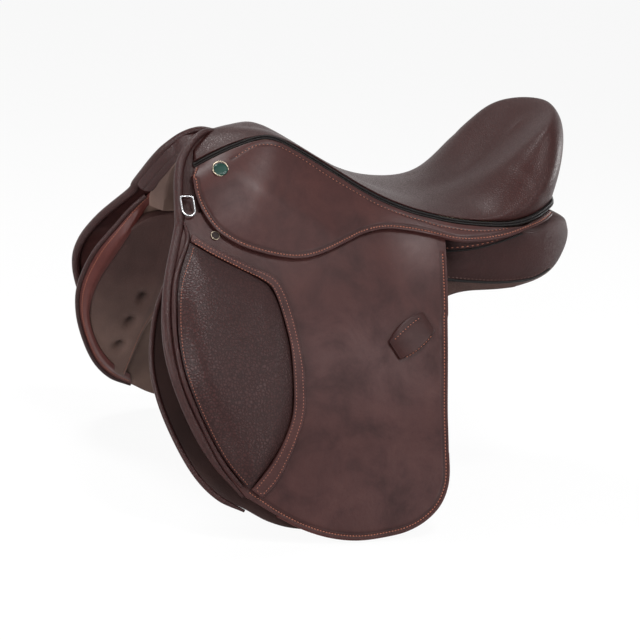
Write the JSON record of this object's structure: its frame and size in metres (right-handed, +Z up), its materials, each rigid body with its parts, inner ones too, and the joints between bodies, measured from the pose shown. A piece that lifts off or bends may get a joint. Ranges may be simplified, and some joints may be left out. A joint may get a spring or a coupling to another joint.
{
  "type": "all-purpose saddle",
  "caption": "English all-purpose saddle: leather seat on a tree, hinged flaps and skirts, knee pads, panels, stirrup bars, billets and a sliding buckle guard.",
  "frame": {"origin": "on the centre plane, at the height of the seat's lowest point, under the rider", "axes": "-Y towards the horse's head, +Y towards its tail, +X the near (left) side, +Z up"},
  "size_m": [0.49, 0.5363, 0.4553],
  "materials": {
    "black_piping": "satin, black",
    "bright_steel": "polished",
    "forged_steel": "forged",
    "grained_leather": "fine-grained, dark brown",
    "green_enamel": "gloss enamel",
    "latex_foam": "foam",
    "panel_leather": "soft, taupe",
    "smooth_leather": "satin, reddish brown",
    "suede_leather": "napped, light brown",
    "tree_laminate": "pressed laminate",
    "webbing": "woven"
  },
  "bodies": {
    "saddle": {"dee_chape_l": "grained_leather", "dee_chape_r": "grained_leather", "flap_nail_l": "forged_steel", "flap_nail_r": "forged_steel", "flap_top_l": "smooth_leather", "flap_top_r": "smooth_leather", "girth_web_l": "webbing", "girth_web_r": "webbing", "head_plate": "forged_steel", "knee_block_l": "grained_leather", "knee_block_r": "grained_leather", "panel_l": "panel_leather", "panel_r": "panel_leather", "pommel_facing": "grained_leather", "pommel_roll_l": "grained_leather", "pommel_roll_r": "grained_leather", "pommel_stud_l": "green_enamel", "pommel_stud_r": "green_enamel", "seat_cover": "grained_leather", "seat_foam": "latex_foam", "seat_web": "webbing", "seat_welt_l": "black_piping", "seat_welt_r": "black_piping", "skirt_band_l": "smooth_leather", "skirt_band_r": "smooth_leather", "stirrup_bar_l": "forged_steel", "stirrup_bar_r": "forged_steel", "sweat_flap_l": "suede_leather", "sweat_flap_r": "suede_leather", "sweat_flap_roll_l": "grained_leather", "sweat_flap_roll_r": "grained_leather", "thigh_block_l": "grained_leather", "thigh_block_r": "grained_leather", "tree": "tree_laminate"},
    "billet_front_l": {"billet_front_l": "panel_leather"},
    "billet_front_r": {"billet_front_r": "panel_leather"},
    "billet_middle_l": {"billet_middle_l": "panel_leather"},
    "billet_middle_r": {"billet_middle_r": "panel_leather"},
    "billet_rear_l": {"billet_rear_l": "panel_leather"},
    "billet_rear_r": {"billet_rear_r": "panel_leather"},
    "guard_l": {"buckle_guard_l": "smooth_leather"},
    "guard_r": {"buckle_guard_r": "smooth_leather"},
    "flap_l": {"flap_l": "smooth_leather", "flap_roll_l": "grained_leather", "knee_pad_facing_l": "smooth_leather", "knee_pad_l": "grained_leather", "surcingle_keeper_l": "smooth_leather"},
    "flap_r": {"flap_r": "smooth_leather", "flap_roll_r": "grained_leather", "knee_pad_facing_r": "smooth_leather", "knee_pad_r": "grained_leather", "surcingle_keeper_r": "smooth_leather"},
    "dee_l": {"front_dee_l": "bright_steel"},
    "dee_r": {"front_dee_r": "bright_steel"},
    "skirt_l": {"skirt_l": "smooth_leather"},
    "skirt_r": {"skirt_r": "smooth_leather"},
    "catch_l": {"stirrup_catch_l": "bright_steel"},
    "catch_r": {"stirrup_catch_r": "bright_steel"}
  },
  "joints": [
    {"name": "flap_lift_l", "type": "hinge", "parent": "saddle", "child": "flap_l", "pos_m": [0.13153, -0.08035, -0.06567], "axis": [-0.2015, -0.9502, 0.2376], "range_deg": [0, 70]},
    {"name": "skirt_lift_l", "type": "hinge", "parent": "saddle", "child": "skirt_l", "pos_m": [0.09383, -0.10933, 0.00168], "axis": [-0.1692, -0.97, 0.1744], "range_deg": [0, 55]},
    {"name": "catch_turn_l", "type": "hinge", "parent": "saddle", "child": "catch_l", "pos_m": [0.08113, -0.03264, -0.01049], "axis": [0.7162, 0, 0.6979], "range_deg": [0, 90]},
    {"name": "dee_swing_l", "type": "hinge", "parent": "saddle", "child": "dee_l", "pos_m": [0.07109, -0.2231, 0.00522], "axis": [0, -1, 0], "range_deg": [0, 45]},
    {"name": "billet_front_swing_l", "type": "hinge", "parent": "saddle", "child": "billet_front_l", "pos_m": [0.1025, -0.085, -0.05], "axis": [-0.8969, 0, -0.4423], "range_deg": [-5, 5]},
    {"name": "billet_middle_swing_l", "type": "hinge", "parent": "saddle", "child": "billet_middle_l", "pos_m": [0.1025, -0.052, -0.05], "axis": [-0.8969, 0, -0.4423], "range_deg": [-5, 5]},
    {"name": "billet_rear_swing_l", "type": "hinge", "parent": "saddle", "child": "billet_rear_l", "pos_m": [0.1025, -0.019, -0.05], "axis": [-0.8969, 0, -0.4423], "range_deg": [-5, 5]},
    {"name": "guard_slide_l", "type": "slide", "parent": "billet_middle_l", "child": "guard_l", "axis": [0.4423, 0, -0.8969], "range_m": [0, 0.05]},
    {"name": "flap_lift_r", "type": "hinge", "parent": "saddle", "child": "flap_r", "pos_m": [-0.13153, -0.08035, -0.06567], "axis": [-0.2015, 0.9502, -0.2376], "range_deg": [0, 70]},
    {"name": "skirt_lift_r", "type": "hinge", "parent": "saddle", "child": "skirt_r", "pos_m": [-0.09383, -0.10933, 0.00168], "axis": [-0.1692, 0.97, -0.1744], "range_deg": [0, 55]},
    {"name": "catch_turn_r", "type": "hinge", "parent": "saddle", "child": "catch_r", "pos_m": [-0.08113, -0.03264, -0.01049], "axis": [0.7162, 0, -0.6979], "range_deg": [0, 90]},
    {"name": "dee_swing_r", "type": "hinge", "parent": "saddle", "child": "dee_r", "pos_m": [-0.07109, -0.2231, 0.00522], "axis": [0, 1, 0], "range_deg": [0, 45]},
    {"name": "billet_front_swing_r", "type": "hinge", "parent": "saddle", "child": "billet_front_r", "pos_m": [-0.1025, -0.085, -0.05], "axis": [-0.8969, 0, 0.4423], "range_deg": [-5, 5]},
    {"name": "billet_middle_swing_r", "type": "hinge", "parent": "saddle", "child": "billet_middle_r", "pos_m": [-0.1025, -0.052, -0.05], "axis": [-0.8969, 0, 0.4423], "range_deg": [-5, 5]},
    {"name": "billet_rear_swing_r", "type": "hinge", "parent": "saddle", "child": "billet_rear_r", "pos_m": [-0.1025, -0.019, -0.05], "axis": [-0.8969, 0, 0.4423], "range_deg": [-5, 5]},
    {"name": "guard_slide_r", "type": "slide", "parent": "billet_middle_r", "child": "guard_r", "axis": [-0.4423, 0, -0.8969], "range_m": [0, 0.05]}
  ],
  "couplings": [
    {"joint": "billet_front_swing_l", "follows": "billet_middle_swing_l", "ratio": 1},
    {"joint": "billet_rear_swing_l", "follows": "billet_middle_swing_l", "ratio": 1},
    {"joint": "billet_front_swing_r", "follows": "billet_middle_swing_r", "ratio": 1},
    {"joint": "billet_rear_swing_r", "follows": "billet_middle_swing_r", "ratio": 1}
  ]
}
